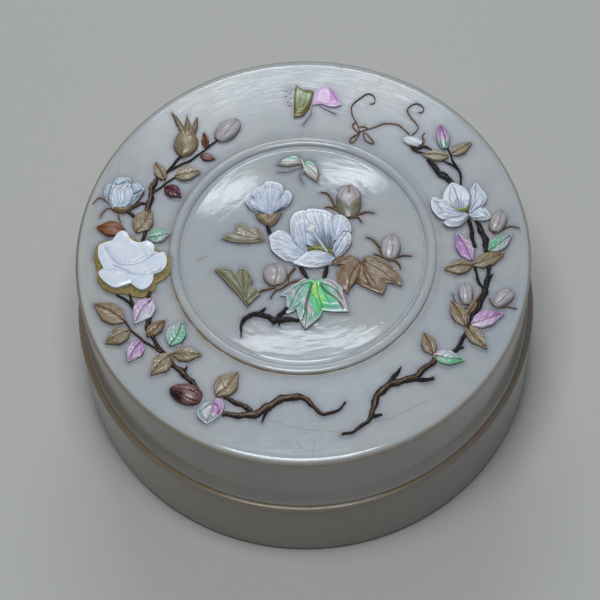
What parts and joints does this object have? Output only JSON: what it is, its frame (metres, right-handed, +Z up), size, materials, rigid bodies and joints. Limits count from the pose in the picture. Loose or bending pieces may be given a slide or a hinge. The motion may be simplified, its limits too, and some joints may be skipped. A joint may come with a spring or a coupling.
{
  "type": "trinket box",
  "caption": "Round turned trinket box with a lift-off domed lid, inlaid with carved flowers, leaves and insects, hollow inside for small keepsakes.",
  "frame": {"origin": "centre of the foot, on the turning axis, in the plane that the box stands on", "axes": "+Z up along the turning axis; -Y is the front, the side that the camera looks from; +X is to the right as seen from the front"},
  "size_m": [0.0918, 0.0916, 0.0448],
  "materials": {
    "ivory": "polished ivory, soft sheen, faint growth lines, brown tint in the grooves",
    "white_shell": "polished bluish-white mother-of-pearl with engraved lines",
    "blue_shell": "polished cyan-white mother-of-pearl with engraved lines",
    "green_shell": "polished green and teal abalone shell, iridescent",
    "pink_shell": "polished pink and violet abalone shell, iridescent",
    "pale_horn": "polished pale greyish-mauve horn",
    "tan_horn": "polished tan horn",
    "olive_horn": "polished olive-green horn",
    "brown_horn": "polished brown horn with engraved veins",
    "amber": "polished orange-brown amber",
    "dark_red": "polished burgundy stained horn",
    "red_stone": "polished red-black stone",
    "gold_lacquer": "olive-gold lacquer",
    "dark_wood": "dark brown, nearly black, carved wood"
  },
  "bodies": {
    "root": {"box": "ivory", "lid": "ivory", "amber_leaf": "amber", "brown_leaf": "brown_horn", "centre_branch": "dark_wood", "crowned_fruit": "tan_horn", "dark_red_leaf": "dark_red", "fan_blossom": "white_shell", "fan_calyx": "tan_horn", "folded_leaf": "olive_horn", "gold_underlay": "gold_lacquer", "half_leaf": "olive_horn", "heart_leaf": "pink_shell", "hibiscus": "white_shell", "horn_maple": "brown_horn", "insect_body": "olive_horn", "insect_wing": "pink_shell", "large_white_flower": "white_shell", "left_bud": "pale_horn", "left_green_leaf_1": "green_shell", "left_green_leaf_2": "green_shell", "left_pink_leaf_1": "pink_shell", "left_pink_leaf_2": "pink_shell", "left_tan_leaf_1": "tan_horn", "left_tan_leaf_2": "tan_horn", "left_tan_leaf_3": "tan_horn", "left_tan_leaf_4": "tan_horn", "left_tan_leaf_pair": "tan_horn", "lower_left_branch": "dark_wood", "lower_left_stem": "dark_wood", "lower_right_branch": "dark_wood", "magnolia": "white_shell", "moth": "green_shell", "peony": "blue_shell", "rainbow_bud": "pink_shell", "red_bud": "red_stone", "right_bud": "pale_horn", "right_bud_1": "pale_horn", "right_bud_2": "pale_horn", "right_bud_3": "pale_horn", "right_green_leaf_1": "green_shell", "right_green_leaf_2": "green_shell", "right_middle_stem": "dark_wood", "right_pink_leaf_1": "pink_shell", "right_pink_leaf_2": "pink_shell", "right_tan_leaf_1": "tan_horn", "right_tan_leaf_2": "tan_horn", "right_tan_leaf_3": "tan_horn", "right_tan_leaf_pair_1": "tan_horn", "right_tan_leaf_pair_2": "tan_horn", "right_upper_stem": "dark_wood", "round_bud": "pale_horn", "shell_maple": "green_shell", "small_tan_leaf": "tan_horn", "upper_left_bud": "pale_horn", "upper_left_stem": "dark_wood", "upper_left_tan_leaf": "tan_horn", "upper_right_stem": "dark_wood", "white_bud": "white_shell"}
  },
  "joints": []
}
